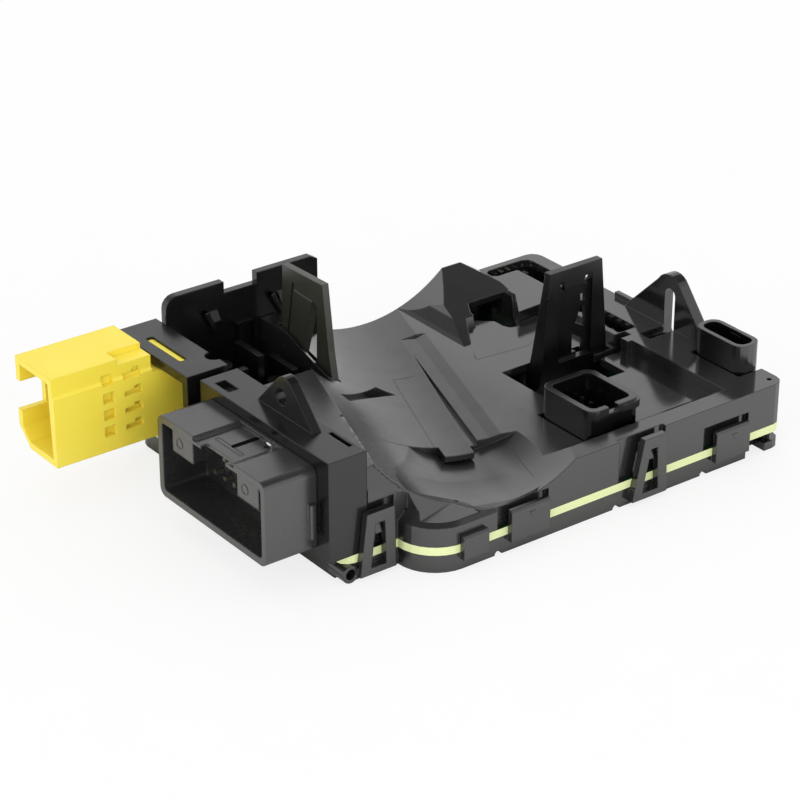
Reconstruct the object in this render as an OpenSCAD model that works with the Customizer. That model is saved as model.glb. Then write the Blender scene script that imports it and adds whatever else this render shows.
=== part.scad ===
// Steering column switch: the electronics and connector module under the column.
// Two snap-fitted covers clamp a circuit board. A saddle in the upper cover clears
// the column, sockets for the stalk switches stand on the right, and a carrier on
// the left holds the harness shell and the airbag connector.
// Datum: x = 0 is a plan line near the column, y = 0 the front face, z = 0 the board top.

/* [Body] */
// Datum line to the right end
right_len = 63.6; // [62:0.2:70]
// Datum line to the left end
left_len = 31.6; // [31:0.2:34]
// Front face to back face
depth = 73; // [72.6:0.2:78]
// Set-back of the front edge left of the lobe
left_set = 8; // [8:0.1:8.6]
// Wall of the moulded covers
wall = 1.6; // [1.3:0.1:1.7]
// Plan radius of the corners
edge_r = 2.4; // [2.2:0.1:3]
// Plan radius of the lobe under the column
lobe_r = 8; // [7:0.2:8]
// Centre of the lobe, left of the datum line
lobe_x = 12; // [11:0.5:13]
// Front ledge height above the board
ledge_h = 8.3; // [7.8:0.1:9]
// Flat width of the front ledge
ledge_flat = 4.1; // [3.4:0.1:4.4]
// Run of the slope from ledge to deck
ledge_run = 4.3; // [3:0.1:4.6]
// Deck height above the board
deck_h = 5.45; // [5.2:0.05:6]
// Running clearance between loose pieces
gap = 0.2; // [0.1:0.05:0.3]

/* [Board and lower cover] */
// Circuit board thickness
board_t = 1.6; // [1.2:0.1:2]
// Lower cover depth below the board
tray_h = 3.4; // [3:0.1:4]
// Rim width of the lower cover
rim_w = 1.8; // [1.5:0.1:2]

/* [Column saddle] */
// Turn of the column axis in plan
axis_turn = 19; // [18:0.5:20]
// Front crossing of the column axis, left of the datum line
axis_x = 4.5; // [4:0.5:5]
// Saddle radius
saddle_r = 27; // [26:0.5:28]
// Lowest saddle line above the board
saddle_h = 4.4; // [4:0.1:4.8]
// Height of the saddle's left shoulder
shoulder_h = 14; // [13:0.5:15]
// Distance along the axis to the lip over the dish
lip_s = 23.8; // [23:0.2:25]
// Tongue length over the dish
tongue_l = 3.7; // [3:0.1:4.5]
// Tongue width
tongue_w = 5.5; // [4:0.5:6.5]
// Length of the strip facet beside the groove
strip_l = 43.7; // [40:0.5:45]
// Radius of the dish across the axis
dish_r = 26.6; // [26:0.2:27]
// Radius of the dish along the axis
dish_run = 56.4; // [56.2:0.2:58]
// Lowest dish point above the board
dish_h = 2.1; // [2:0.1:2.6]
// Distance along the axis to the lowest dish point
dish_s = 15.5; // [15:0.5:16.5]
// Apron height on the lobe
apron_h = 4.4; // [4:0.1:5]

/* [Stalk socket] */
// Socket length left to right
stalk_w = 11.8; // [11:0.2:13]
// Socket depth front to back
stalk_d = 14.4; // [13.6:0.2:15.4]
// Socket centre right of the datum line
stalk_x = 27.9; // [27:0.2:30]
// Socket front face behind the front face
stalk_y = 6.6; // [6:0.2:7.4]
// Socket rim above the board
stalk_h = 11.6; // [10:0.2:13]
// Socket wall
shell_t = 1.2; // [0.9:0.1:1.4]

/* [Slim socket] */
// Slim socket width left to right
slim_w = 5.6; // [5:0.1:5.9]
// Slim socket depth front to back
slim_d = 12.9; // [12:0.1:14]
// Slim socket rim above the board
slim_h = 13.9; // [12:0.1:15]

/* [Right lug] */
// Lug plate thickness
lug_t = 2.2; // [1.8:0.1:2.6]
// Lug apex above the board
lug_h = 19.4; // [18:0.2:21]
// Lug slot centre behind the front face
lug_y = 29.9; // [29:0.2:31]
// Lug slot width
slot_w = 2.9; // [2.4:0.1:3.2]
// Lug slot length
slot_l = 10.5; // [8:0.5:11]

/* [Latch towers] */
// Right tower width at its top
tower_w = 12.7; // [12:0.2:13.4]
// Right tower height above the board
tower_h = 25; // [22:0.5:27]
// Right tower centre right of the datum line
tower_x = 41.5; // [41:0.1:42]
// Right tower front face behind the front face
tower_y = 34.4; // [34:0.1:34.8]
// Tower plate thickness
tower_t = 1.6; // [1.4:0.1:2]
// Left tower width at its top
left_tower_w = 13.2; // [12.6:0.2:13.6]
// Left tower height above the board
left_tower_h = 27; // [25:0.5:28]

/* [Connector carrier] */
// Carrier block height above the board
carrier_h = 19.2; // [18.6:0.2:20]
// Carrier block width left to right
carrier_w = 7.9; // [7.6:0.1:8.2]
// Carrier block length front to back
carrier_d = 38.9; // [38.5:0.1:39.2]
// Gap between the carrier block and the airbag holder
holder_gap = 2.2; // [1.6:0.1:2.4]
// Airbag holder length front to back
holder_d = 22.2; // [22:0.1:22.3]
// Harness shell length front to back
shell_w = 33; // [32:0.5:34]
// Harness shell height
shell_h = 16; // [15:0.2:16.6]
// Harness shell reach in front of the carrier
shell_reach = 10.6; // [9:0.2:12]
// Harness shell wall
shell_wall = 1.3; // [1:0.1:1.5]

/* [Airbag connector] */
// Connector body length
air_l = 20.5; // [18:0.5:23]
// Connector body width
air_w = 13; // [12:0.2:13]
// Connector body height
air_h = 17.3; // [16.5:0.1:17.6]
// Contact pitch
air_pitch = 3.3; // [3:0.1:3.4]

/* [Contacts] */
// Pitch of the stalk socket pins
pin_pitch = 2.54; // [2.2:0.1:2.6]
// Pin thickness
pin_t = 0.64; // [0.5:0.02:0.8]

/* [Hidden] */
$fn = 48;
eps = 0.01;
mid_x = (right_len - left_len) / 2;
base_z = board_t + tray_h;
black = "#2b2b2c";
black_gloss = "#343436";
board_green = "#c4d488";
yellow = "#f0df52";
tin = "#c9c7bd";
gold = "#d8b45a";

// Plan of the cover's left edge, beside the carrier block
block_x0 = -left_len - 2.8;
block_x1 = block_x0 + carrier_w;
cover_x0 = block_x1 + gap;
block_y1 = left_set + carrier_d;
holder_y0 = block_y1 + holder_gap;
holder_y1 = holder_y0 + holder_d;
well_x1 = -5.4;
well_y0 = 47.2;
// Raised right part of the upper cover
raise_x = 52.2;
raise_y = 30;
strip_x = 56.9;
pad_x1 = 47.9;
bar_y = depth - 4.8;
pad_x0 = 30;
pad_y0 = 62;
pad_h = 8.3;
pad_rise = 0.27;
island_x0 = 43;
island_x1 = pad_x1 - 0.4;
island_y = 52.8;
header_w = 8.2;
header_d = 6.6;
panel_x1 = 8.1;
pocket_y0 = 53.2;
channel_x0 = 52.4;
// Harness shell and airbag connector seats
shell_x0 = block_x0 - shell_reach;
shell_y0 = left_set + 3.4;
shell_y1 = shell_y0 + shell_w;
shell_z0 = 1.1;
shell_z1 = shell_z0 + shell_h;
air_x1 = block_x0 - 2.6;
air_x0 = air_x1 - air_l;
air_y1 = holder_y1 + 0.1;
air_y0 = air_y1 - air_w;
air_z0 = 4;
air_z1 = air_z0 + air_h;
// Clips on the front edge: [left x, right x]
clip_1 = [-29, -21.4];
clip_2 = [25.4, 33.5];
tab_a = [-2.2, 6.4];
tab_b = [right_len - 17.8, right_len - 9.5];
tab_c = [-12.6, -7.2];
clip_t = 1.5;
clip_top = 7.8;
tab_top = 3.4;
recess_d = 0.9;
recess_x = 2.2;
recess_z = 1.2;

// Helpers

function arc(x, y, r, a0, a1, n = 6) =
  [for (i = [0:n]) let (a = a0 + (a1 - a0) * i / n) [x + r * cos(a), y + r * sin(a)]];

// Board outline, drawn in by g
function board_plan(g) = concat(
  arc(right_len - edge_r, edge_r, edge_r - g, -90, 0, 3),
  arc(right_len - edge_r, depth - edge_r, edge_r - g, 0, 90, 3),
  arc(-left_len + edge_r, depth - edge_r, edge_r - g, 90, 180, 3),
  arc(-left_len + edge_r, left_set + edge_r, edge_r - g, 180, 270, 3),
  [[-lobe_x - lobe_r + g, left_set + g]],
  arc(-lobe_x, lobe_r, lobe_r - g, 180, 270, 8));

// Upper cover outline: the board's, less the carrier block and the well behind it
function cover_plan(g) = concat(
  arc(right_len - edge_r, edge_r, edge_r - g, -90, 0, 3),
  arc(right_len - edge_r, depth - edge_r, edge_r - g, 0, 90, 3),
  [[well_x1 + g, depth - g], [well_x1 + g, well_y0 - g], [cover_x0 + g, well_y0 - g],
   [cover_x0 + g, left_set + g], [-lobe_x - lobe_r + g, left_set + g]],
  arc(-lobe_x, lobe_r, lobe_r - g, 180, 270, 8));

function rounded(w, d, r, n = 4) = concat(
  arc(w - r, r, r, -90, 0, n), arc(w - r, d - r, r, 0, 90, n),
  arc(r, d - r, r, 90, 180, n), arc(r, r, r, 180, 270, n));

module block(x0, x1, y0, y1, z0, z1) {
  translate([x0, y0, z0]) cube([x1 - x0, y1 - y0, z1 - z0]);
}

module rounded_block(x0, x1, y0, y1, z0, z1, r) {
  translate([x0, y0, z0]) linear_extrude(z1 - z0) polygon(rounded(x1 - x0, y1 - y0, r));
}

// Extrude a (y, z) profile from x0 to x1
module along_x(x0, x1) {
  translate([x0, 0, 0]) rotate([90, 0, 90]) linear_extrude(x1 - x0) children();
}

// Extrude an (x, z) profile from y0 to y1
module along_y(y0, y1) {
  translate([0, y1, 0]) rotate([90, 0, 0]) linear_extrude(y1 - y0) children();
}

// Column frame: local y runs along the column, local x across it
module on_axis() {
  translate([-axis_x, 0, 0]) rotate([0, 0, -axis_turn]) children();
}

module part_frame() {
  translate([-mid_x, -depth / 2, base_z]) children();
}

// Column space: everything the column and its flange keep clear, grown by g

module saddle_space(g) {
  on_axis() {
    translate([0, lip_s, saddle_h + saddle_r]) rotate([-90, 0, 0])
      cylinder(r = saddle_r + g, h = depth + 30, $fn = 96);
    intersection() {
      translate([0, -30, saddle_h + saddle_r]) rotate([-90, 0, 0])
        cylinder(r = saddle_r + g, h = lip_s + 31, $fn = 96);
      block(-saddle_r, -11, -30, lip_s + 1, 0, 40);
    }
    // flat facet right of the groove and the strip that climbs from it to the deck
    along_y(lip_s - 0.5, lip_s + strip_l) polygon([
      [3.9, 4.7 - g], [6.9, 4.92 - g], [10.2, 5.68 - g], [10.2, 8], [3.9, 8]]);
  }
}

module dish_space(g) {
  // a shallow bowl, rounder across the axis than along it
  on_axis() intersection() {
    translate([0.5, dish_s, dish_h + dish_run]) rotate([0, 90, 0]) rotate_extrude($fn = 96)
      translate([dish_run - dish_r, 0]) circle(r = dish_r + g, $fn = 96);
    block(-saddle_r, saddle_r, -30, lip_s + g, -2, 40);
  }
}

// Rear ramp and pad: one plane that climbs from the deck to the back edge,
// with a slanted flank beside the saddle
module rear_pad(g) {
  intersection() {
    along_x(pad_x0 - 4, pad_x1 + 0.1 - g) polygon([
      [pad_y0 - 15, pad_h - 15 * pad_rise - g], [depth - g, pad_h + (depth - pad_y0) * pad_rise - g],
      [depth - g, 1], [pad_y0 - 15, 1]]);
    along_y(pad_y0 - 16, depth + 30) translate([1.25 * g, 0]) polygon([
      [27.2, 1], [27.2, 4.4], [29.3, 6], [31.8, 7.5], [35.4, 11.8], [36.6, 13.2], [41, 13.2],
      [44.8, 10.95], [49.8, 7.9], [49.8, 1]]);
  }
}

// Apron: the low flat on the lobe, with the steep face that climbs to the shoulder
module apron_space(g) {
  translate([-9.5, 6.3 + g, apron_h - g]) rotate([0, 0, 13.7]) translate([-30, 0, 0])
    along_x(0, 30.5) polygon([[-20, 0], [0, 0], [20, 24], [-20, 24]]);
}

// Scoop in the deck and the ramp in front of the rear header, between two slanted walls
module scoop_space(g) {
  intersection() {
    translate([25, 51.5, deck_h + 6]) rotate([0, 90, 0]) cylinder(r = 8 + g, h = 24, $fn = 64);
    translate([0, 0, 0.4]) linear_extrude(30) polygon([
      [25.8 - 1.2 * g, 44], [36.1 - 1.2 * g, 61.2], [island_x1 + 1.21 * g, 61.2], [island_x1 + 1.21 * g, 59.4],
      [island_x0 + 1.89 * g, island_y + g], [37.5 + 1.2 * g, 44]]);
  }
}

// Recess in the saddle beside the left tower: its floor climbs back to the surface
module saddle_recess(g) {
  translate([2.7, 47.2, 5.8]) rotate([0, 0, 25.4]) rotate([0, 20.6, 0]) along_x(-11.5 - g, 2.6 + g)
    polygon([[g, -1.5 - g], [g, 6], [-7.5, 6], [-7.5, 0.7 - g]]);
}

// Chamfer round the lobe's top rim
module lobe_chamfer() {
  intersection() {
    translate([-lobe_x, lobe_r, 0]) rotate_extrude($fn = 64)
      polygon([
        [lobe_r - 2.06, 9], [lobe_r - 2.06, apron_h + 1.3], [lobe_r + 0.1, apron_h - 0.95],
        [lobe_r + 2, apron_h - 0.95], [lobe_r + 2, 9]]);
    block(-lobe_x - lobe_r - 3, -lobe_x, -3, lobe_r, 0, 9);
  }
  along_x(-lobe_x - eps, tab_a[0] - recess_x)
    polygon([[2.06, 9], [2.06, apron_h + 1.3], [-0.1, apron_h - 0.95], [-2, apron_h - 0.95], [-2, 9]]);
}

// Upper cover

// Outer form of the upper cover, drawn in by g on all sides
module cover_form(g) {
  linear_extrude(deck_h - g) polygon(cover_plan(g));
  // left shoulder beside the saddle
  linear_extrude(shoulder_h - g) intersection() {
    polygon(cover_plan(g));
    polygon([[cover_x0 - 1, 0], [-4, 0], [4, 20], [14, depth + 1], [well_x1 - 1, depth + 1], [cover_x0 - 1, well_y0 + 1]]);
  }
  // front ledge
  intersection() {
    along_x(-lobe_x, right_len) polygon([
      [g, -eps], [g, ledge_h - g], [ledge_flat - g / 2, ledge_h - g],
      [ledge_flat + ledge_run - g / 2, deck_h - g], [ledge_flat + ledge_run + 1, -eps]]);
    linear_extrude(20) polygon(cover_plan(g));
  }
  // raised right block, strip and slot rim
  linear_extrude(ledge_h - g) intersection() {
    polygon(cover_plan(g));
    polygon([
      [raise_x + g, 0], [right_len, 0], [right_len, depth], [island_x1 + g, depth],
      [island_x1 + g, 60], [island_x1 + 1.21 * g, 59.4], [island_x0 + 1.89 * g, island_y + g],
      [channel_x0 - 1.2 + g, pocket_y0 + g],
      [channel_x0 - 1.2 + g, raise_y + g], [raise_x + g, raise_y + g]]);
  }
  rear_pad(g);
}

module trimmed_form(g) {
  difference() {
    cover_form(g);
    union() {
      saddle_space(g);
      dish_space(g);
    }
    apron_space(g);
    scoop_space(g);
    saddle_recess(g);
  }
}

// Tongue of the saddle floor that reaches over the dish
module saddle_tongue() {
  on_axis() difference() {
    block(-tongue_w / 2, tongue_w / 2, lip_s - tongue_l, lip_s + 2, saddle_h - 1.1, saddle_h + 1);
    translate([0, 0, saddle_h + saddle_r]) rotate([-90, 0, 0]) cylinder(r = saddle_r, h = depth, $fn = 96);
  }
}

// Tapered groove along the saddle floor, ending at the lip
module saddle_groove() {
  on_axis() translate([0, 0, saddle_h - 0.55]) linear_extrude(4)
    polygon([[4.6, lip_s + 37], [tongue_w / 2 + 0.1, lip_s - 0.5], [4.6, lip_s - 0.5]]);
}

// Slotted lug at the right end
module lug_plate() {
  translate([right_len - lug_t, 0, 0]) rotate([90, 0, 90]) linear_extrude(lug_t)
    polygon(concat([[18.5, ledge_h - 1]], [[43.8, ledge_h - 1]], arc(lug_y + 0.3, lug_h - 3.6, 3.6, 30, 145, 8)));
}

module lug_slot() {
  z1 = lug_h - 2.8;
  translate([right_len - lug_t - 6, lug_y, 0]) rotate([90, 0, 90]) {
    linear_extrude(10) translate([-slot_w / 2, z1 - slot_l + slot_w / 2]) square([slot_w, slot_l - slot_w]);
    translate([0, z1 - slot_w / 2, 0]) cylinder(d = slot_w, h = 10);
    translate([0, z1 - slot_l + slot_w / 2, 0]) cylinder(d = slot_w, h = 10);
  }
}

// Openings of the upper deck, cut right through
module deck_openings() {
  // stalk socket and slim socket
  block(stalk_x - stalk_w / 2 - gap, stalk_x + stalk_w / 2 + gap, stalk_y - gap, stalk_y + stalk_d + gap, -1, 20);
  block(right_len - slim_w - gap, right_len + 1, stalk_y - gap, stalk_y + slim_d + gap, -1, 20);
  // right latch tower
  block(27.4, 46.2, 25, 38.6, -1, 20);
  block(46.1, 53.8, 32, 33.8, -1, 20);
  block(46, tower_x + tower_w / 2 + 3, tower_y - gap, tower_y + tower_t + gap, -1, 20);
  // back panel of the carrier
  block(well_x1 - 1, panel_x1 + gap, depth - 2 - gap, depth + 1, -1, 30);
  // rear header
  on_header() translate([0, 0, -1]) linear_extrude(20)
    polygon([for (p = rounded(header_w + 2 * gap, header_d + 2 * gap, 2.2)) p - [header_w / 2 + gap, header_d / 2 + gap]]);
  translate([0, 0, deck_h - 1.8]) linear_extrude(20) polygon([
    [36.2, 59.2], [37.6, 61.9], [46.6, 61.9], [47.2, 60.2], [43.6, 54.6], [40.2, 54.2], [38.8, 54.4],
    [37.8, 55.1], [37.2, 56.2]]);
  // contact bars: back arm and right arm
  translate([0, 0, -1]) linear_extrude(20) polygon([
    [50.2, bar_y + 3.2], [49.2, bar_y + 2.4], [49.2, bar_y + 0.8], [50.2, bar_y], [54.9, bar_y],
    [55.2, bar_y - 0.4], [55.2, 54], [channel_x0, 52.6], [channel_x0, 34], [strip_x, 34], [strip_x, 52.4],
    [60.4, 54], [60.4, bar_y + 1.6], [59.9, bar_y + 2.7], [58.8, bar_y + 3.2]]);
  // left latch tower
  block(-4 - gap, -2.4 + gap, well_y0 + wall + 0.2, depth - 6.6, -1, 20);
}

module clip_recess(x0, x1, y, top) {
  block(x0 - recess_x, x1 + 0.5, y - 1, y + recess_d, -1, top + recess_z);
}

module clip_catch(x0, x1, y, z) {
  along_x(x0, x1) polygon([[y + recess_d + 0.1, z - 1.2], [y - 0.9, z - 1.2], [y - 0.2, z + 1.1], [y + recess_d + 0.1, z + 1.6]]);
}

module upper_cover() {
  color(black_gloss) {
    difference() {
      union() {
        difference() {
          trimmed_form(0);
          translate([0, 0, -eps]) trimmed_form(wall);
        }
        saddle_tongue();
        lug_plate();
        // rail on the right strip
        block(right_len - 1, right_len, 42, 47, ledge_h - 0.5, ledge_h + 1);
      }
      deck_openings();
      saddle_groove();
      lobe_chamfer();
      lug_slot();
      clip_recess(clip_1[0], clip_1[1], left_set, clip_top);
      clip_recess(clip_2[0], clip_2[1], 0, clip_top);
      clip_recess(tab_a[0], tab_a[1], 0, tab_top);
      clip_recess(tab_b[0], tab_b[1], 0, tab_top);
      // vent holes
      translate([right_len - 2, 2.3, ledge_h - 1.2]) cylinder(d = 1, h = 3, $fn = 24);
      translate([right_len - 2.5, 49.4, ledge_h - 1.2]) cylinder(d = 1.2, h = 3, $fn = 24);
    }
    clip_catch(clip_1[0] + 3.6, clip_1[1] - 2.6, left_set, 4.4);
    clip_catch(clip_2[0] + 4.2, clip_2[1] - 2.8, 0, 4.4);
  }
}

// Circuit board

module circuit_board() {
  color(board_green) difference() {
    translate([0, 0, -board_t]) linear_extrude(board_t) polygon(board_plan(0));
    // slots for the two latch towers' feet
    block(tower_x - 5 - gap, tower_x + 5 + gap, tower_y - gap, tower_y + tower_t + gap, -board_t - 1, 1);
    block(-3.8 - gap, -2.4 + gap, depth - 19 - gap, depth - 11 + gap, -board_t - 1, 1);
    // holes for the carrier's pegs
    for (y = [left_set + 6, left_set + 33]) translate([block_x1 - 2.2, y, -board_t - 1]) cylinder(d = 2 + 2 * gap, h = 4);
  }
}

// Lower cover with its clips

module snap_clip(x, y, z0, taper) {
  difference() {
    union() {
      along_y(y - clip_t, y - 0.1)
        polygon([[x[0], z0], [x[1], z0], [x[1] - taper / 5, clip_top], [x[0] + taper, clip_top]]);
      block(x[0] + 0.4, x[1] - 0.4, y - clip_t, y + 0.9, z0, -board_t - 0.2);
    }
    along_y(y - clip_t - 1, y + 0.05) polygon([
      [x[0] + 2.2, z0 + 1.2], [x[1] - 2.1, z0 + 1.2], [x[1] - 2.1 - taper / 6, 5.6], [x[0] + 2.2 + taper * 0.7, 5.6]]);
  }
}

module snap_tab(x, y, z0, top) {
  along_x(x[0], x[1]) polygon([
    [y - clip_t + 0.3, z0], [y - clip_t + 0.3, top - 0.5], [y - clip_t + 0.7, top], [y - 0.1, top],
    [y - 0.1, -board_t - 0.2], [y + 0.9, -board_t - 0.2], [y + 0.9, z0]]);
}

module lower_cover() {
  z0 = -board_t - tray_h;
  color(black) difference() {
    union() {
      translate([0, 0, z0]) difference() {
        linear_extrude(tray_h) polygon(board_plan(0));
        translate([0, 0, 1.4]) linear_extrude(tray_h) polygon(board_plan(rim_w));
        // the front right corner stops short, apart from a low foot
        block(tab_b[1] + 0.3, right_len + 1, -1, 3.2, 1.6, tray_h + 1);
        block(tab_b[1] + 0.3, right_len - 4.4, -1, 3.2, -1, 2);
        // seat of the hollow bead
        block(-left_len - 1, clip_1[0] - 0.3, left_set - 1, left_set + 2.6, -1, tray_h + 1);
      }
      translate([clip_1[0] - 1.4, left_set - 0.5, z0 + 1.7]) rotate([-90, 0, 0]) difference() {
        cylinder(d = 3.3, h = 4.6, $fn = 32);
        translate([0, 0, -1]) cylinder(d = 2, h = 4, $fn = 32);
      }
      snap_clip(clip_1, left_set, z0 + 0.9, 1.5);
      snap_clip(clip_2, 0, z0 + 0.9, 2.5);
      snap_tab(tab_a, 0, z0 + 2.2, tab_top);
      snap_tab(tab_b, 0, z0 + 2.2, tab_top);
      snap_tab(tab_c, 0, z0 + 2.2, 1.8);
      // tower seats and board posts
      block(tower_x - 6, tower_x + 6, tower_y - 1, tower_y + tower_t + 1, z0 + 1, z0 + 2.2);
      block(-5, -1.4, depth - 20, depth - 10, z0 + 1, z0 + 2.2);
      for (p = [[10, 12], [10, 60], [50, 12], [50, 60], [-20, 30]])
        translate([p[0], p[1], z0 + 1]) cylinder(d = 4, h = tray_h - 1);
    }
    // rounded beads under the rim at each clip's left end
    for (x = [clip_2[0] - 2.6, tab_a[0] - 2, tab_b[0] - 2])
      translate([x, -1, z0]) rotate([-90, 0, 0]) cylinder(d = 1.6, h = 3, $fn = 24);
  }
}

// Stalk switch sockets

module shroud(x0, y0, w, d, h, r, t, floor_h) {
  translate([x0, y0, 0]) difference() {
    linear_extrude(h) polygon(rounded(w, d, r));
    translate([t, t, floor_h]) linear_extrude(h) polygon(rounded(w - 2 * t, d - 2 * t, r - t * 0.6));
  }
}

module stalk_socket() {
  x0 = stalk_x - stalk_w / 2;
  color(black_gloss) difference() {
    union() {
      shroud(x0, stalk_y, stalk_w, stalk_d, stalk_h, 2, shell_t, 3);
      // lip round the near right corner
      rounded_block(x0 + 6.8, x0 + stalk_w + 0.3, stalk_y - 0.3, stalk_y + 3, stalk_h - 1.8, stalk_h - 0.4, 1.6);
    }
    rounded_block(x0 + shell_t, x0 + stalk_w - shell_t, stalk_y + shell_t, stalk_y + stalk_d - shell_t, 3, stalk_h + 1, 1.3);
    // polarising notch in the near rim and latch recess below it
    block(x0 + 4.2, x0 + 6.4, stalk_y - 1, stalk_y + shell_t + 0.2, stalk_h - 1.2, stalk_h + 1);
    block(x0 + 5.4, x0 + stalk_w - 1.2, stalk_y - 1, stalk_y + 0.6, deck_h + 0.3, stalk_h - 3.4);
    stalk_pin_grid(gap / 4);
  }
}

module pin(x, y, z0, z1, g = 0) {
  h = pin_t / 2 + g;
  block(x - h, x + h, y - h, y + h, z0, z1);
}

module stalk_pin_grid(g) {
  for (i = [-1:1], j = [-2:2])
    pin(stalk_x + i * pin_pitch, stalk_y + stalk_d / 2 + j * pin_pitch, -eps, 9, g);
}

module stalk_pins() {
  color(gold) for (i = [-1:1], j = [-2:2])
    pin(stalk_x + i * pin_pitch, stalk_y + stalk_d / 2 + j * pin_pitch, 0, stalk_h - 4.2);
}

module slim_socket() {
  x0 = right_len - slim_w;
  color(black_gloss) difference() {
    shroud(x0, stalk_y, slim_w, slim_d, slim_h, 2.1, 0.9, 3);
    // shallow notch in the outer rim
    block(right_len - 1.2, right_len + 1, stalk_y + 5, stalk_y + 7.4, slim_h - 0.8, slim_h + 1);
    for (j = [-2:2]) pin(x0 + slim_w / 2, stalk_y + slim_d / 2 + j * 2, -eps, 12, gap / 4);
  }
}

module slim_pins() {
  color(gold) for (j = [-2:2])
    pin(right_len - slim_w / 2, stalk_y + slim_d / 2 + j * 2, 0, slim_h - 4.2);
}

// Rear header and the two contact bars under the L-shaped channel

module on_header() {
  translate([40.3, 56.9, 0]) rotate([0, 0, -32]) children();
}

module rear_header() {
  color(black) on_header() difference() {
    shroud(-header_w / 2, -header_d / 2, header_w, header_d, 3.6, 2, 1, 1.4);
    for (i = [-1:1], j = [-1, 1]) pin(i * 2, j * 1.1, -eps, 8, gap / 4);
  }
}

module rear_header_pins() {
  color(tin) on_header() for (i = [-1:1], j = [-1, 1]) pin(i * 2, j * 1.1, 0, 3.2);
}

module contact_bar_back() {
  color(black) difference() {
    linear_extrude(4.6) polygon([
      [50.3, bar_y + 3], [49.4, bar_y + 2.3], [49.4, bar_y + 0.9], [50.3, bar_y + 0.2], [60.2, bar_y + 0.2],
      [60.2, bar_y + 1.5], [59.7, bar_y + 2.5], [58.7, bar_y + 3]]);
    for (i = [0:4]) block(50.8 + i * 1.8, 51.5 + i * 1.8 + gap, bar_y + 0.7, bar_y + 2.3, -1, 6);
  }
}

module contact_blades_back() {
  color(tin) for (i = [0:4])
    block(50.8 + gap / 2 + i * 1.8, 51.5 + gap / 2 + i * 1.8, bar_y + 0.8, bar_y + 2.2, 0, 6.4);
}

module contact_bar_side() {
  color(black) difference() {
    block(channel_x0 + 0.3, strip_x - 0.3, 34.3, 52, 0, 4.6);
    for (i = [0:6]) block(54, 55.4, 36 + i * 2.3, 37 + gap + i * 2.3, -1, 6);
  }
}

module contact_blades_side() {
  color(tin) for (i = [0:6]) block(54.1, 55.3, 36 + gap / 2 + i * 2.3, 37 + gap / 2 + i * 2.3, 0, 6.4);
}

// Latch towers

module right_latch_tower() {
  w0 = tower_w + 3.2;
  leg = 3.4;
  color(black_gloss) translate([tower_x, tower_y, 0]) {
    along_y(0, tower_t) difference() {
      polygon([
        [-w0 / 2 - 0.6, 0], [w0 / 2 + 0.4, 0], [w0 / 2, 8], [tower_w / 2, tower_h],
        [-tower_w / 2, tower_h], [-w0 / 2 + 0.4, 8]]);
      translate([-tower_w / 2 + leg - 0.8, 3]) square([7.9, tower_h - 5.3]);
    }
    // web set back in the window, with its three openings
    along_y(tower_t / 2, tower_t) difference() {
      translate([-4.2, 2.9]) square([8.5, tower_h - 6.6]);
      polygon([[1.2, 5.9], [2.8, 5.5], [2.8, 9], [0.1, 10.8], [0.1, 6.8], [1.2, 6.8]]);
      polygon([[0.8, 12.9], [3.3, 11.4], [3.1, 15.9], [2, 15.9]]);
      polygon([[1.9, 17.2], [3.1, 17.1], [3, 18.7], [1.9, 18.6]]);
    }
    // cross bar flush with the front, with its round end
    along_y(0, tower_t / 2 + 0.1) difference() {
      translate([-2.7, tower_h - 4.2]) square([5.6, 2]);
      translate([3, tower_h - 3.2]) circle(r = 0.9, $fn = 24);
    }
    // side flange that deepens towards the foot
    intersection() {
      along_y(tower_t - 0.1, 6) polygon([
        [-w0 / 2 - 0.6, 0], [-w0 / 2 + 1.4, 0], [-w0 / 2 + 1.9, 8], [-tower_w / 2 + 1.4, tower_h],
        [-tower_w / 2, tower_h], [-w0 / 2 + 0.4, 8]]);
      along_x(-12, 0) polygon([[0, 0.3], [3.9, 0.3], [3.9, 3], [tower_t - 0.05, tower_h - 1], [0, tower_h - 1]]);
    }
    // foot through the board
    block(-5, 5, 0, tower_t, -board_t - tray_h + 2.2 + 0.05, 6);
  }
  // base plate that fills the deck opening
  color(black) block(27.8, tower_x + 4, 25.6, tower_y + 0.1, 0.3, 1.9);
}

module left_latch_tower() {
  y1 = depth - 7.6;
  y0 = y1 - left_tower_w;
  color(black_gloss) {
    along_x(-3.8, -2.4) difference() {
      polygon([
        [y0 - 3, 0.2], [y1 + 0.8, 0.2], [y1 + 0.6, 8], [y1, left_tower_h - 0.4], [y0 + 0.4, left_tower_h],
        [y0 - 1.4, 14], [y0 - 3, 6]]);
      polygon([[y0 + 2.2, 22], [y0 + 3.4, 22.6], [y0 + 8, 6.9], [y0 + 13, 6.1], [y0 + 13, 5.2], [y0 + 7.6, 5.2],
        [y0 + 5.5, 3.4], [y0 + 2.6, 4.8]]);
      polygon([[y0 + 9.5, 24], [y0 + 10.1, 24], [y0 + 13.2, 6], [y0 + 12.6, 6]]);
    }
    // slanted spring tongue, slightly proud of the plate
    along_x(-4, -2.6) polygon([[y0 + 3.5, 22.5], [y0 + 9.4, 22.8], [y0 + 12.4, 6.4], [y0 + 8.1, 7.1]]);
    // foot through the board
    block(-3.8, -2.4, y1 - 11.4, y1 - 3.4, -board_t - tray_h + 2.2 + 0.05, 1);
  }
}

// Connector carrier: block, airbag holder, back panel and left lug in one moulding

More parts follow.
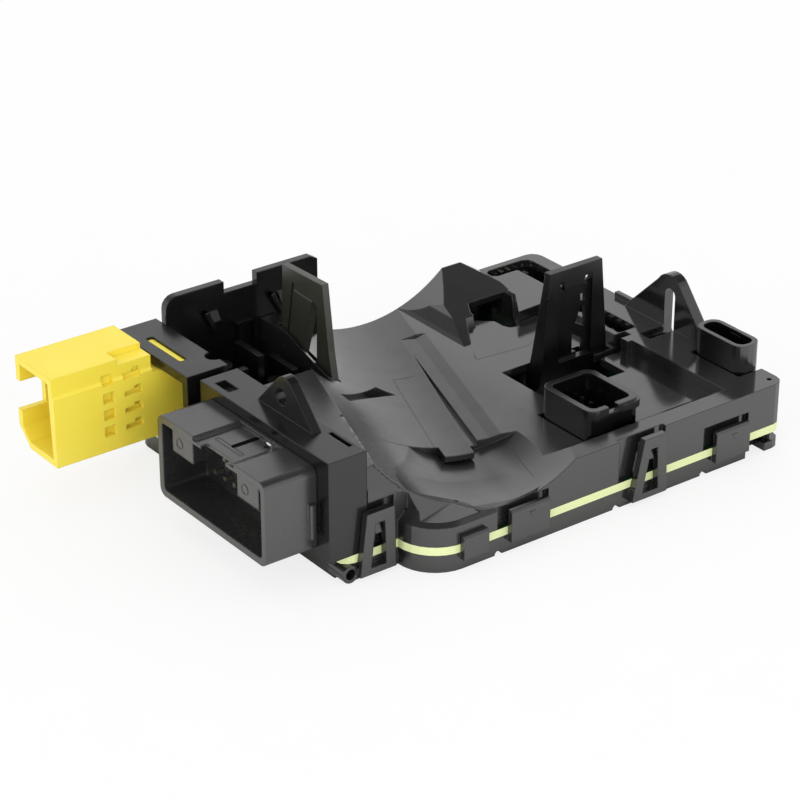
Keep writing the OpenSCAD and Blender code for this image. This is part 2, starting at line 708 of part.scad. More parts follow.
module carrier_block() {
  difference() {
    block(block_x0, block_x1, left_set, block_y1, 0, carrier_h);
    // hollow behind the harness shell, open to the board
    block(block_x0 + 1.6, block_x1 - 1.6, left_set + 1.6, block_y1 - 1.6, -1, carrier_h - 1.6);
    // pin windows in the wall that carries the shell
    block(block_x0 - 1, block_x0 + 2, shell_y0 + 4, shell_y1 - 4, shell_z0 + 4, shell_z1 - 5);
    // hook recess and small recess in the top
    block(block_x0 + 1.4, block_x0 + 3.6, block_y1 - 7, block_y1 - 2.6, carrier_h - 1, carrier_h + 1);
    block(block_x1 - 1.6, block_x1 - 0.7, left_set + 3, left_set + 9, carrier_h - 1, carrier_h + 1);
  }
}

module left_lug() {
  translate([-30.4, 0, 0]) rotate([90, 0, 90]) difference() {
    linear_extrude(1.8) polygon(concat([[17.6, carrier_h - 0.5], [35.2, carrier_h - 0.5]], arc(26.4, carrier_h + 5, 2.6, 45, 135, 6)));
    translate([27.4, carrier_h + 3.4, -1]) cylinder(d = 3, h = 4);
  }
}

module airbag_holder() {
  x0 = block_x0 - 1.3;
  difference() {
    union() {
      block(x0, block_x1 - 0.5, holder_y0, holder_y1 + 1.4, carrier_h - 1.8, carrier_h);
      block(x0, block_x1 - 0.5, holder_y0, holder_y0 + 1.6, 0, carrier_h);
      block(block_x1 - 2.1, block_x1 - 0.5, holder_y0, holder_y1 + 1.4, 0, carrier_h);
      block(x0, block_x1 - 0.5, air_y1 + gap, air_y1 + gap + 1.4, 0, carrier_h);
    }
    // slot over the lock and round finger recess
    rounded_block(-33.2, -31.6, 55.2, 66.9, carrier_h - 3, carrier_h + 1, 0.5);
    translate([block_x1 - 0.5, holder_y0 + 4.5, carrier_h - 3]) cylinder(d = 3.4, h = 6);
  }
}

module back_panel() {
  z = carrier_h;
  along_y(depth - 2, depth - 0.4) difference() {
    polygon(concat(
      [[-26, 0], [panel_x1, 0], [panel_x1, 22.6], [panel_x1 - 1.4, 23.4], [-5.8, 23.4], [-5.8, 21.2], [-13.2, 21.2], [-13.2, 23.5]],
      arc(-23.6, 21.1, 2.4, 90, 180, 4)));
    translate([-9.8, 7]) square([3, 6.7]);
  }
}

module carrier_well() {
  // ribs and latch pillars seen in the well in front of the back panel
  for (x = [-16.6, -1.2]) translate([x, 0, 0])
    along_x(0, 1.8) polygon([[depth - 1.9, 13.4], [depth - 2.6, 13.6], [depth - 3.2, 16.6], [depth - 1.9, 18.4]]);
    block(block_x1 - 0.6, -6.4, 50, depth - 1, 0, 1.6);
  translate([-20, 62, 0]) cylinder(d = 4, h = 12);
  translate([-12, 56, 0]) cylinder(d = 3.4, h = 9);
  block(-14.6, -13.2, 58, 66, 0, 13.6);
  block(-9.8, -8.4, 54, 62, 0, 11);
  block(-23.6, -17.4, 57, 58.4, 0, 12.4);
}

module connector_carrier() {
  color(black) {
    carrier_block();
    left_lug();
    // bridge between block and holder
    block(block_x1 - 2.1, block_x1 - 0.5, block_y1 - 1, holder_y0 + 1, 0, 12);
    airbag_holder();
    back_panel();
    carrier_well();
    // pegs into the board
    for (y = [left_set + 6, left_set + 33]) {
      translate([block_x1 - 2.2, y, -board_t]) cylinder(d = 2, h = board_t + 4);
    }
  }
}

// Harness shell

module harness_shell() {
  x0 = shell_x0;
  x1 = block_x0 - 0.05;
  mid_y = [shell_y0 + 9.2, shell_y1 - 11.2];
  color(black_gloss) {
    difference() {
      translate([x1, shell_y0, shell_z0]) rotate([0, -90, 0]) linear_extrude(x1 - x0)
        polygon(rounded(shell_h, shell_w, 1.6));
      translate([x1 - 1.6, shell_y0 + shell_wall, shell_z0 + shell_wall]) rotate([0, -90, 0]) linear_extrude(x1 - x0)
        polygon(rounded(shell_h - 2 * shell_wall, shell_w - 2 * shell_wall, 0.8));
      // lowered middle of the top with the latch notch, slot and window
      block(x0 - 1, x1 - 0.8, mid_y[0], mid_y[1], shell_z1 - 0.7, shell_z1 + 1);
      block(x0 - 1, x0 + 1.4, mid_y[0] + 2.5, mid_y[1] - 2.5, shell_z1 - 3, shell_z1 + 1);
      block(x0 + 3.4, x0 + 4.2, mid_y[0] + 3, mid_y[1] - 2, shell_z1 - 3, shell_z1 + 1);
      translate([x1 - 1.4, shell_y0 + 12, shell_z1 - 3]) cylinder(d = 1.6, h = 5);
      harness_pin_grid(gap / 4);
    }
    // keying blocks that hang from the top
    for (y = [[shell_y0 + 2.8, shell_y0 + 9.1], [shell_y1 - 10.2, shell_y1 - 3.8]])
      block(x0 + 0.6, x1 - 1, y[0], y[1], shell_z1 - 6, shell_z1 - shell_wall + 0.05);
    // rib on the near side
    rounded_block(x1 - 1.8, x1 - 0.6, shell_y0 - 0.7, shell_y0 + 0.8, 4, 10.6, 0.3);
  }
}

module harness_pin_grid(g) {
  for (i = [0:7], j = [0, 1])
    block(shell_x0 + 4, block_x0 + 4, shell_y0 + 5.6 + i * 3 - 0.4 - g, shell_y0 + 5.6 + i * 3 + 0.4 + g,
      shell_z0 + 4.6 + j * 3.8 - 0.4 - g, shell_z0 + 4.6 + j * 3.8 + 0.4 + g);
}

module harness_pins() {
  color(tin) for (i = [0:7], j = [0, 1]) {
    y = shell_y0 + 5.6 + i * 3;
    z = shell_z0 + 4.6 + j * 3.8;
    block(shell_x0 + 5.6, block_x0 + 2.8 + j * 1.4, y - 0.4, y + 0.4, z - 0.4, z + 0.4);
    block(block_x0 + 2 + j * 1.4, block_x0 + 2.8 + j * 1.4, y - 0.4, y + 0.4, 0, z + 0.4);
  }
}

// Airbag connector

module airbag_connector() {
  c = 3.6;
  t = 1.3;
  color(yellow) difference() {
    union() {
      translate([air_x0, 0, 0]) rotate([90, 0, 90]) linear_extrude(air_l) polygon([
        [air_y0, air_z0], [air_y1 - c, air_z0], [air_y1, air_z0 + c], [air_y1, air_z1], [air_y0 + 0.6, air_z1],
        [air_y0 + 0.6, air_z1 - 3.4], [air_y0, air_z1 - 3.8]]);
      // rounded tail that slides into the holder
      along_y(air_y0, air_y1) polygon(concat(
        [[air_x1 - 1, air_z0]], arc(block_x1 - 6.2, 7.4, 3.4, -90, 0, 4), arc(block_x1 - 6.2, 13.6, 3.4, 0, 90, 4), [[air_x1 - 1, 17]]));
    }
    // open end
    translate([air_x0 - 1, 0, 0]) rotate([90, 0, 90]) linear_extrude(9) polygon([
      [air_y0 + t, air_z0 + t], [air_y1 - c, air_z0 + t], [air_y1 - t, air_z0 + c], [air_y1 - t, air_z1 - t], [air_y0 + t + 0.6, air_z1 - t]]);
    block(air_x0 - 1, air_x0 + 5, air_y1 - 2, air_y1 + 1, 10.8, 16.6);
    // contact windows on the near side
    for (k = [0:3]) {
      z = 7 + k * air_pitch;
      block(-47.4, -45.2, air_y0 - 1, air_y0 + 1.2, z, z + 2);
      block(-43, -39.4, air_y0 - 1, air_y0 + 1, z + 0.2, z + 1.2);
      block(-41, -39.6, air_y0 - 1, air_y0 + 1.4, z + 0.9, z + 1.9);
    }
    // ledge on the top right
    block(air_x1 - 7, air_x1 + 1, air_y0 - 1, air_y0 + 4, air_z1 - 1.1, air_z1 + 1);
    // seat of the lock and terminal bores
    block(-33.4, -31.4, 55, 67.1, 15, 18);
    for (k = [0:3]) block(air_x0 + 7.9, air_x1 - 0.3, air_y0 + 5, air_y0 + 6.4, 7.6 + k * air_pitch - 0.2, 8.6 + k * air_pitch);
  }
}

module airbag_lock() {
  color(yellow) rounded_block(-33.2 + gap / 2, -31.6 - gap / 2, 55.4, 66.7, 15.1, carrier_h - 0.4, 0.4);
}

module airbag_terminals() {
  color(gold) for (k = [0:3])
    block(air_x0 + 4, air_x1 - 0.4, air_y0 + 5.1, air_y0 + 6.3, 7.7 + k * air_pitch - 0.2, 8.5 + k * air_pitch);
}

// Electronics on the board

module quad_chip(x, y, w, h, n) {
  color("#1d1d1f") block(x - w / 2, x + w / 2, y - w / 2, y + w / 2, 0.1, h);
  color(tin) for (s = [-1, 1], i = [0:n - 1]) {
    q = (i - (n - 1) / 2) * w * 0.86 / n;
    block(min(x + s * w / 2, x + s * (w / 2 + 0.8)), max(x + s * w / 2, x + s * (w / 2 + 0.8)), y + q - 0.15, y + q + 0.15, 0, 0.4);
    block(x + q - 0.15, x + q + 0.15, min(y + s * w / 2, y + s * (w / 2 + 0.8)), max(y + s * w / 2, y + s * (w / 2 + 0.8)), 0, 0.4);
  }
}

module dual_chip(x, y, w, d, h, n) {
  color("#1d1d1f") block(x - w / 2, x + w / 2, y - d / 2, y + d / 2, 0.1, h);
  color(tin) for (s = [-1, 1], i = [0:n - 1]) {
    q = (i - (n - 1) / 2) * 1.27;
    block(x + q - 0.2, x + q + 0.2, min(y + s * d / 2, y + s * (d / 2 + 0.9)), max(y + s * d / 2, y + s * (d / 2 + 0.9)), 0, 0.4);
  }
}

module controller_chip() {
  quad_chip(16, 38, 10, 1.7, 12);
}

module bus_chip() {
  dual_chip(40, 13, 5, 3.9, 1.6, 4);
}

module driver_chip() {
  dual_chip(44, 20, 9, 4.4, 1.9, 7);
}

module power_chip() {
  color("#1d1d1f") block(18, 24.4, 60, 66, 0, 2.2);
  color(tin) block(18.6, 23.8, 66, 67, 0, 0.5);
}

module crystal() {
  color(tin) rounded_block(21.6, 26.2, 30, 33, 0, 1.2, 0.7);
}

module choke_coil() {
  color("#3a3a3c") translate([8, 58, 0]) difference() {
    cylinder(d = 5, h = 2.2);
    translate([0, 0, 1.6]) cylinder(d = 2, h = 2);
  }
}

module can_capacitor(x, y, d, h) {
  color(tin) translate([x, y, 0]) {
    cylinder(d = d, h = h);
  }
}

module bulk_capacitor_1() {
  can_capacitor(36, 42, 4, 3.4);
}

module bulk_capacitor_2() {
  can_capacitor(50, 26, 4, 3.4);
}

module ceramic_capacitors() {
  color("#a98f62") for (p = [[7, 30], [7, 34], [24, 40], [24, 44], [36, 11], [46, 12], [30, 62], [14, 52]])
    block(p[0] - 0.9, p[0] + 0.9, p[1] - 0.5, p[1] + 0.5, 0, 0.8);
}

part_frame() lower_cover();
part_frame() circuit_board();
part_frame() upper_cover();
part_frame() stalk_socket();
part_frame() stalk_pins();
part_frame() slim_socket();
part_frame() slim_pins();
part_frame() rear_header();
part_frame() rear_header_pins();
part_frame() contact_bar_back();
part_frame() contact_bar_side();
part_frame() contact_blades_back();
part_frame() contact_blades_side();
part_frame() right_latch_tower();
part_frame() left_latch_tower();
part_frame() connector_carrier();
part_frame() harness_shell();
part_frame() harness_pins();
part_frame() airbag_connector();
part_frame() airbag_lock();
part_frame() airbag_terminals();
part_frame() controller_chip();
part_frame() bus_chip();
part_frame() driver_chip();
part_frame() power_chip();
part_frame() crystal();
part_frame() choke_coil();
part_frame() bulk_capacitor_1();
part_frame() bulk_capacitor_2();
part_frame() ceramic_capacitors();
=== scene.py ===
"""Looks of the steering column switch module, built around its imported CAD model.

The module is a stack of black injection-moulded covers over a printed circuit board. Every
length below is in millimetres in the drawing frame, where x runs along the front edge, y back
from the front face and z up from the board's top, unless a line says metres.
"""
import math

import bmesh
import bpy
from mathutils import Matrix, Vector


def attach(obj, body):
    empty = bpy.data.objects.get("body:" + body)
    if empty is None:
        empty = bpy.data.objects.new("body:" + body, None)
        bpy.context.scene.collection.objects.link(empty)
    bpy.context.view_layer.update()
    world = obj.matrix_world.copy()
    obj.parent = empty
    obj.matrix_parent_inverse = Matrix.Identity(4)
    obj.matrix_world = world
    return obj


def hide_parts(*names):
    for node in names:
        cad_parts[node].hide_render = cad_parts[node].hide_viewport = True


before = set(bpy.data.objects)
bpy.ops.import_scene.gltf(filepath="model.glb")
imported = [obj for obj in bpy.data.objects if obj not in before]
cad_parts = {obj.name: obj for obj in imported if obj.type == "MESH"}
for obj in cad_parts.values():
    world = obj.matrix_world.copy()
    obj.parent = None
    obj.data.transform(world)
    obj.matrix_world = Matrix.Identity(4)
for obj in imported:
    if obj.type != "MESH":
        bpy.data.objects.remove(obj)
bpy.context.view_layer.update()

MM = 0.001
# The drawing frame's origin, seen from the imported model's origin, in millimetres
DATUM = Vector((-16.0, -36.5, 5.0))


# Materials

def linear(code):
    """An sRGB hex colour as the linear RGBA that a shader socket takes."""
    parts = [int(code[i:i + 2], 16) / 255 for i in (1, 3, 5)]
    return tuple(c / 12.92 if c <= 0.04045 else ((c + 0.055) / 1.055) ** 2.4 for c in parts) + (1.0,)


def add(tree, kind, inputs=None, **settings):
    """Adds one node, sets its properties, fills or links its inputs, and returns its first output.

    A Mix node of colours takes its share on input 0 and its colours on 6 and 7, and gives the
    colour on output 2. A Mix node of numbers takes them on inputs 2 and 3.
    """
    made = tree.nodes.new("ShaderNode" + kind)
    for name, value in settings.items():
        setattr(made, name, value)
    for key, value in (inputs or {}).items():
        if isinstance(value, bpy.types.NodeSocket):
            tree.links.new(value, made.inputs[key])
        else:
            made.inputs[key].default_value = value
    return made.outputs[0] if made.outputs else made


def new_material(name):
    """A material with an empty node tree, and that tree."""
    material = bpy.data.materials.new(name)
    material.use_nodes = True
    material.node_tree.nodes.clear()
    return material, material.node_tree


# The band that most of a noise texture's values lie in
NOISE_LOW = 0.3
NOISE_HIGH = 0.7
# The cover's tool is polished to the right of this strip of x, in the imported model's metres
POLISH_START = 0.004
POLISH_END = 0.012
# How far the satin's roughness wanders either way
HAZE = 0.035
# The size of the patches in which the moulded plastics' tone and roughness wander
FLOW_PATCH = 14 * MM
HAZE_PATCH = 5 * MM
YELLOW_FLOW_PATCH = 9 * MM
YELLOW_HAZE_PATCH = 3 * MM
# The real grain of these finishes is about 0.05 mm, too fine to show, so every grain and drawn line
# below is several times as coarse
YELLOW_GRAIN = 0.35 * MM
DRAWN_LINE = 0.6 * MM


def moulded_black(name, light, dark, rough, polish, grain, depth, edge, shine=0.95):
    """Glass-filled PBT as it leaves the tool: black, satin, with a fine eroded grain.

    light and dark are its two close tones, rough its roughness, polish the roughness where the
    tool was polished, grain the grain's size in millimetres, depth its height and edge the
    radius that a moulded corner keeps. shine scales the mirrored light at a right angle.
    """
    material, tree = new_material(name)
    place = add(tree, "TexCoord").node.outputs["Object"]
    flow = add(tree, "TexNoise", {"Vector": place, "Scale": 1 / FLOW_PATCH, "Detail": 3.0})
    tone = add(tree, "Mix", {0: flow, 6: linear(light), 7: linear(dark)},
               data_type="RGBA").node.outputs[2]
    # polished on the right deck, eroded to satin over the saddle and the front
    x = add(tree, "SeparateXYZ", {0: place})
    region = add(tree, "MapRange", {0: x, 1: POLISH_START, 2: POLISH_END, 3: rough, 4: polish})
    cloudy = add(tree, "TexNoise", {"Vector": place, "Scale": 1 / HAZE_PATCH, "Detail": 4.0})
    haze = add(tree, "MapRange", {0: cloudy, 1: NOISE_LOW, 2: NOISE_HIGH, 3: -HAZE, 4: HAZE})
    roughness = add(tree, "Math", {0: region, 1: haze}, operation="ADD")
    speck = add(tree, "TexNoise", {"Vector": place, "Scale": 1 / (grain * MM), "Detail": 2.0})
    corner = add(tree, "Bevel", {"Radius": edge * MM}, samples=4)
    bump = add(tree, "Bump", {"Strength": 0.5, "Distance": depth * MM, "Height": speck,
                              "Normal": corner})
    shader = add(tree, "BsdfPrincipled", {
        "Base Color": tone, "Roughness": roughness, "IOR": 1.6,
        "Specular IOR Level": shine, "Normal": bump})
    add(tree, "OutputMaterial", {"Surface": shader})
    return material


def moulded_yellow(name):
    """Unfilled PBT coloured bright yellow: smooth and slightly milky."""
    material, tree = new_material(name)
    place = add(tree, "TexCoord").node.outputs["Object"]
    flow = add(tree, "TexNoise", {"Vector": place, "Scale": 1 / YELLOW_FLOW_PATCH, "Detail": 3.0})
    tone = add(tree, "Mix", {0: flow, 6: linear("#f5e352"), 7: linear("#f1da41")},
               data_type="RGBA").node.outputs[2]
    cloudy = add(tree, "TexNoise", {"Vector": place, "Scale": 1 / YELLOW_HAZE_PATCH, "Detail": 3.0})
    roughness = add(tree, "MapRange", {0: cloudy, 1: NOISE_LOW, 2: NOISE_HIGH, 3: 0.34, 4: 0.44})
    speck = add(tree, "TexNoise", {"Vector": place, "Scale": 1 / YELLOW_GRAIN, "Detail": 2.0})
    corner = add(tree, "Bevel", {"Radius": 0.3 * MM}, samples=4)
    bump = add(tree, "Bump", {"Strength": 0.4, "Distance": 0.012 * MM, "Height": speck,
                              "Normal": corner})
    shader = add(tree, "BsdfPrincipled", {
        "Base Color": tone, "Roughness": roughness, "IOR": 1.5,
        "Subsurface Weight": 0.12, "Subsurface Scale": 1.2 * MM, "Normal": bump})
    add(tree, "OutputMaterial", {"Surface": shader})
    return material


# A face whose normal is this upright is masked, the plies of the board are this thick, and the
# weave of its glass cloth mottles it in patches of this size
MASKED_TILT = 0.7
PLY = 0.2 * MM
WEAVE_PATCH = 1.2 * MM


def laminate(name):
    """FR-4 board: sawn edge pale yellow-green with its glass plies, faces under green mask."""
    material, tree = new_material(name)
    coords = add(tree, "TexCoord").node
    place = coords.outputs["Object"]
    up = add(tree, "SeparateXYZ", {0: coords.outputs["Normal"]}).node.outputs[2]
    tilt = add(tree, "Math", {0: up}, operation="ABSOLUTE")
    face = add(tree, "Math", {0: tilt, 1: MASKED_TILT}, operation="GREATER_THAN")
    # each ply is a little lighter or darker than the next
    height = add(tree, "SeparateXYZ", {0: place}).node.outputs[2]
    ply = add(tree, "Math", {0: height, 1: PLY}, operation="PINGPONG")
    share = add(tree, "MapRange", {0: ply, 1: 0.0, 2: PLY, 3: 0.0, 4: 1.0})
    edge = add(tree, "Mix", {0: share, 6: linear("#e8f0bb"), 7: linear("#d8e3a2")},
               data_type="RGBA").node.outputs[2]
    mottle = add(tree, "TexNoise", {"Vector": place, "Scale": 1 / WEAVE_PATCH, "Detail": 4.0})
    mask = add(tree, "Mix", {0: mottle, 6: linear("#12301a"), 7: linear("#0e2515")},
               data_type="RGBA").node.outputs[2]
    tone = add(tree, "Mix", {0: face, 6: edge, 7: mask}, data_type="RGBA").node.outputs[2]
    roughness = add(tree, "MapRange", {0: face, 1: 0.0, 2: 1.0, 3: 0.55, 4: 0.3})
    bump = add(tree, "Bump", {"Strength": 0.3, "Distance": 0.02 * MM, "Height": mottle})
    shader = add(tree, "BsdfPrincipled", {
        "Base Color": tone, "Roughness": roughness, "IOR": 1.55, "Normal": bump})
    add(tree, "OutputMaterial", {"Surface": shader})
    return material


def drawn_metal(name, bright, dull, rough, along_scale):
    """Rolled or drawn metal with faint lines along it and a thin tarnish.

    bright and dull are its two close tones, rough its roughness, and along_scale draws the lines
    out along the axis whose share is small.
    """
    material, tree = new_material(name)
    place = add(tree, "TexCoord").node.outputs["Object"]
    drawn = add(tree, "Mapping", {"Vector": place, "Scale": along_scale})
    lines = add(tree, "TexNoise", {"Vector": drawn, "Scale": 1 / DRAWN_LINE, "Detail": 3.0})
    tone = add(tree, "Mix", {0: lines, 6: linear(bright), 7: linear(dull)},
               data_type="RGBA").node.outputs[2]
    roughness = add(tree, "MapRange", {
        0: lines, 1: NOISE_LOW, 2: NOISE_HIGH, 3: rough - 0.06, 4: rough + 0.06})
    bump = add(tree, "Bump", {"Strength": 0.2, "Distance": 0.01 * MM, "Height": lines})
    shader = add(tree, "BsdfPrincipled", {
        "Base Color": tone, "Metallic": 1.0, "Roughness": roughness, "Normal": bump})
    add(tree, "OutputMaterial", {"Surface": shader})
    return material


def fired_or_cast(name, light, dark, rough, size):
    """Moulded epoxy, nylon and fired ceramic: dull, with a speckle whose size is in millimetres."""
    material, tree = new_material(name)
    place = add(tree, "TexCoord").node.outputs["Object"]
    speck = add(tree, "TexNoise", {"Vector": place, "Scale": 1 / (size * MM), "Detail": 5.0})
    tone = add(tree, "Mix", {0: speck, 6: linear(light), 7: linear(dark)},
               data_type="RGBA").node.outputs[2]
    roughness = add(tree, "MapRange", {
        0: speck, 1: NOISE_LOW, 2: NOISE_HIGH, 3: rough - 0.05, 4: rough + 0.05})
    bump = add(tree, "Bump", {"Strength": 0.4, "Distance": 0.015 * MM, "Height": speck})
    shader = add(tree, "BsdfPrincipled", {
        "Base Color": tone, "Roughness": roughness, "IOR": 1.55, "Normal": bump})
    add(tree, "OutputMaterial", {"Surface": shader})
    return material


# Glass-filled PBT, moulded: satin on the saddle side, polished on the right deck, which mirrors
# the lug and the sockets
cover_pbt = moulded_black(
    "cover_black_pbt", "#202021", "#1b1b1c",
    rough=0.25, polish=0.12, grain=0.30, depth=0.006, edge=0.30)
# The same plastic with a coarser tool: evenly satin and the palest of the black parts
shell_pbt = moulded_black(
    "harness_shell_black_pbt", "#2b2b2c", "#252526",
    rough=0.26, polish=0.26, grain=0.35, depth=0.006, edge=0.45)
# PBT with more soot: a deeper black that mirrors less than the covers
carrier_pbt = moulded_black(
    "carrier_black_pbt", "#131313", "#0f0f0f",
    rough=0.22, polish=0.22, grain=0.35, depth=0.006, edge=0.30, shine=0.5)
# PBT from a smoother tool: the sockets show crisp light edges round black mouths
socket_pbt = moulded_black(
    "socket_black_pbt", "#0c0c0d", "#090909",
    rough=0.22, polish=0.20, grain=0.30, depth=0.007, edge=0.22)
# Black PBT made nearly black as painted shade: the shade in the right tower's deep window and over the
# rear header's face is painted into the colour, so only their edges show
painted_shade_latch_pbt = moulded_black(
    "latch_painted_shade_black", "#080808", "#060606",
    rough=0.30, polish=0.30, grain=0.30, depth=0.007, edge=0.22, shine=0.6)
# Black PBT of a rougher grade, made greyer and olive as painted light: the light and the yellowish
# reflection that the left tower catches are painted into its colour, so it stands out from the panel
# behind it
painted_light_latch_pbt = moulded_black(
    "latch_painted_light_grey", "#33332b", "#2b2b24",
    rough=0.40, polish=0.40, grain=0.30, depth=0.007, edge=0.22)
# Painted shade: near-black and rough, it mirrors nothing, and is laid as a floor and a disc so that
# slots and holes read as black
painted_shade_black = moulded_black(
    "painted_shade_black_pbt", "#040404", "#030303",
    rough=0.85, polish=0.85, grain=0.20, depth=0.01, edge=0.05, shine=0.1)
# Uncoloured nylon, moulded: the one white spot on the black shell
nylon = fired_or_cast(
    "vent_plug_natural_nylon", "#fbfbf8", "#f2f2ee", rough=0.45, size=0.25)
# Unfilled PBT, coloured right through: bright yellow, a little milky where light goes in
airbag_pbt = moulded_yellow("airbag_yellow_pbt")
# Glass cloth and epoxy, sawn: a pale lime edge with fine plies, between green masked faces
board_fr4 = laminate("board_fr4_laminate")
# Brass strip with a tin coat, drawn along z: a soft grey-gold glint deep in the sockets
tinned_brass = drawn_metal(
    "tinned_brass_contact", "#d8d3c2", "#b9b19a", rough=0.30, along_scale=(1.0, 1.0, 0.08))
# Deep-drawn aluminium: pale cans with faint lines round them
can_aluminium = drawn_metal(
    "capacitor_can_aluminium", "#d6d6d4", "#bdbdba", rough=0.34, along_scale=(0.3, 0.3, 1.0))
# Epoxy, moulded: dull and nearly black, with a fine speckle
chip_epoxy = fired_or_cast("chip_moulded_epoxy", "#1b1b1c", "#121213", rough=0.62, size=0.25)
# Bare fired ceramic: dull tan
capacitor_ceramic = fired_or_cast(
    "capacitor_fired_ceramic", "#a98c64", "#8f734f", rough=0.55, size=0.30)

FINISHES = {
    cover_pbt: ("lower_cover", "upper_cover"),
    carrier_pbt: ("connector_carrier",),
    shell_pbt: ("harness_shell",),
    socket_pbt: ("stalk_socket", "slim_socket", "contact_bar_back", "contact_bar_side"),
    painted_shade_latch_pbt: ("right_latch_tower", "rear_header"),
    painted_light_latch_pbt: ("left_latch_tower",),
    airbag_pbt: ("airbag_connector", "airbag_lock"),
    board_fr4: ("circuit_board",),
    tinned_brass: ("stalk_pins", "slim_pins", "rear_header_pins", "contact_blades_back",
                   "contact_blades_side", "harness_pins", "airbag_terminals"),
    can_aluminium: ("crystal", "bulk_capacitor_1", "bulk_capacitor_2"),
    chip_epoxy: ("controller_chip", "bus_chip", "driver_chip", "power_chip", "choke_coil"),
    capacitor_ceramic: ("ceramic_capacitors",),
}
for finish, names in FINISHES.items():
    for name in names:
        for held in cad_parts[name].material_slots:
            held.material = finish


# Tools for the pieces

X_AXIS = (1, 0, 0)
Y_AXIS = (0, 1, 0)
Z_AXIS = (0, 0, 1)


def place_piece(name, mesh_code, finish, sharp=18):
    """Turns mesh code in drawing millimetres into a piece that rides on the module.

    Edges that turn by more than sharp degrees stay crisp.
    """
    bmesh.ops.recalc_face_normals(mesh_code, faces=mesh_code.faces)
    for vertex in mesh_code.verts:
        vertex.co = (vertex.co + DATUM) * MM
    for face in mesh_code.faces:
        face.smooth = True
    mesh = bpy.data.meshes.new(name)
    mesh_code.to_mesh(mesh)
    mesh_code.free()
    mesh.set_sharp_from_angle(angle=math.radians(sharp))
    mesh.materials.append(finish)
    piece = bpy.data.objects.new(name, mesh)
    bpy.context.scene.collection.objects.link(piece)
    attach(piece, "root")
    return piece


def add_skin(mesh_code, loops, closed=False):
    """Joins a row of point loops with faces: into a ring if closed, or else with capped ends."""
    loops = [[mesh_code.verts.new(point) for point in loop] for loop in loops]
    faces = []
    if not closed:
        faces.append(mesh_code.faces.new(loops[0][::-1]))
        faces.append(mesh_code.faces.new(loops[-1]))
    for a, b in zip(loops, loops[1:] + (loops[:1] if closed else [])):
        for i in range(len(a)):
            j = (i + 1) % len(a)
            faces.append(mesh_code.faces.new((a[i], a[j], b[j], b[i])))
    return faces


def add_prism(mesh_code, outline, place, height, soft=0.0):
    """Extrudes a flat outline by height.

    place gives its origin, its two plan directions and, by their cross product, the way it
    grows. soft rounds every edge by that radius.
    """
    origin, right, up = (Vector(v) for v in place)
    grow = right.cross(up).normalized() * height
    low = [origin + right * u + up * v for u, v in outline]
    faces = add_skin(mesh_code, (low, [point + grow for point in low]))
    if soft:
        edges = list(dict.fromkeys(edge for face in faces for edge in face.edges))
        bmesh.ops.bevel(mesh_code, geom=edges, offset=soft, segments=2, profile=0.5,
                        affect="EDGES")


def add_box(mesh_code, low, high, soft=0.0):
    """A block between two corners, with every edge rounded by soft."""
    width, depth = high[0] - low[0], high[1] - low[1]
    add_prism(mesh_code, [(0, 0), (width, 0), (width, depth), (0, depth)],
              (low, X_AXIS, Y_AXIS), high[2] - low[2], soft)


def circle(radius, count):
    """Points round a circle about the outline's origin."""
    angles = [math.radians(360.0 * i / count) for i in range(count)]
    return [(radius * math.cos(angle), radius * math.sin(angle)) for angle in angles]


RING_SIDES = 28


def add_ring(mesh_code, place, inner, outer, height):
    """A flat raised ring, as an ejector pin leaves round its mark."""
    origin, right, up = (Vector(v) for v in place)
    grow = right.cross(up).normalized() * height
    profile = ((inner, 0.0), (inner, 1.0), (outer, 1.0), (outer, 0.0))
    add_skin(mesh_code, [[origin + right * u + up * v + grow * lift
                          for u, v in circle(radius, RING_SIDES)]
                         for radius, lift in profile], closed=True)


def bar_outline(start, end, radius, count=8):
    """The outline of a bar with round ends from start to end."""
    turn = math.degrees(math.atan2(end[1] - start[1], end[0] - start[0]))
    outline = []
    for middle, first in ((end, turn - 90), (start, turn + 90)):
        for i in range(count + 1):
            angle = math.radians(first + 180 * i / count)
            outline.append((middle[0] + radius * math.cos(angle),
                            middle[1] + radius * math.sin(angle)))
    return outline


# The cover's dish and the saddle skirt beside it. The dish sinks into the front of the saddle and
# runs out to the front face. Its rim is round, so the saddle's own surface goes on beside it, down
# to the slanted facet over the low lobe.

# The column's frame: "across" runs square to the column's axis and "along" runs back on it
AXIS_TURN = math.radians(19.0)
AXIS_X = -4.5
# The saddle is part of a cylinder of this radius, lowest at SADDLE_H, and stops at the shoulder
SADDLE_R = 27.0
SADDLE_H = 4.4
SHOULDER_H = 14.0
# The saddle's front end above the dish's lip
LIP_ALONG = 23.79
# In front of this row the dish parts and rises over WIDEN; behind it, it closes up and sinks by
# LIP_FALL over LIP_RUN, down to the lip
DISH_ACROSS = 0.5
DISH_ALONG = 13.0
DISH_FLOOR = 2.9
WIDEN = 10
LIP_RUN = 10.8
SPREAD_LEFT = 4.5
SPREAD_RIGHT = 1.0
FRONT_RISE = 0.91
LIP_FALL = 0.2
# The radius of the dish's left side at the front, what it gains up to that row and what it loses
# again towards the lip; the right side keeps its gain. A side ends short of upright
LEFT_BEND = 15.4
LEFT_BEND_GAIN = 6.8
LEFT_BEND_LOSS = 7.6
RIGHT_BEND = 16.5
RIGHT_BEND_GAIN = 5.5
SIDE_SHARE = 0.97
# From here across, over this width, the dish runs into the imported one, just above it
RUN_IN_ACROSS = 4
RUN_IN_WIDTH = 6
RUN_IN_LIFT = 0.02
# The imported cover's own dish: a part of a ring with these two radii
PACKED_FLOOR = 2.1
PACKED_R = 26.6
PACKED_RUN_R = 56.4
PACKED_ALONG = 15.5
PACKED_REACH = 26
# The flat strip to the right of the groove starts at STRIP_ACROSS and bends up at STRIP_BEND
STRIP_ACROSS = 3.9
STRIP_BEND = 6.9
STRIP_H = 4.7
STRIP_RISE = 0.08
STRIP_BEND_RISE = 0.15
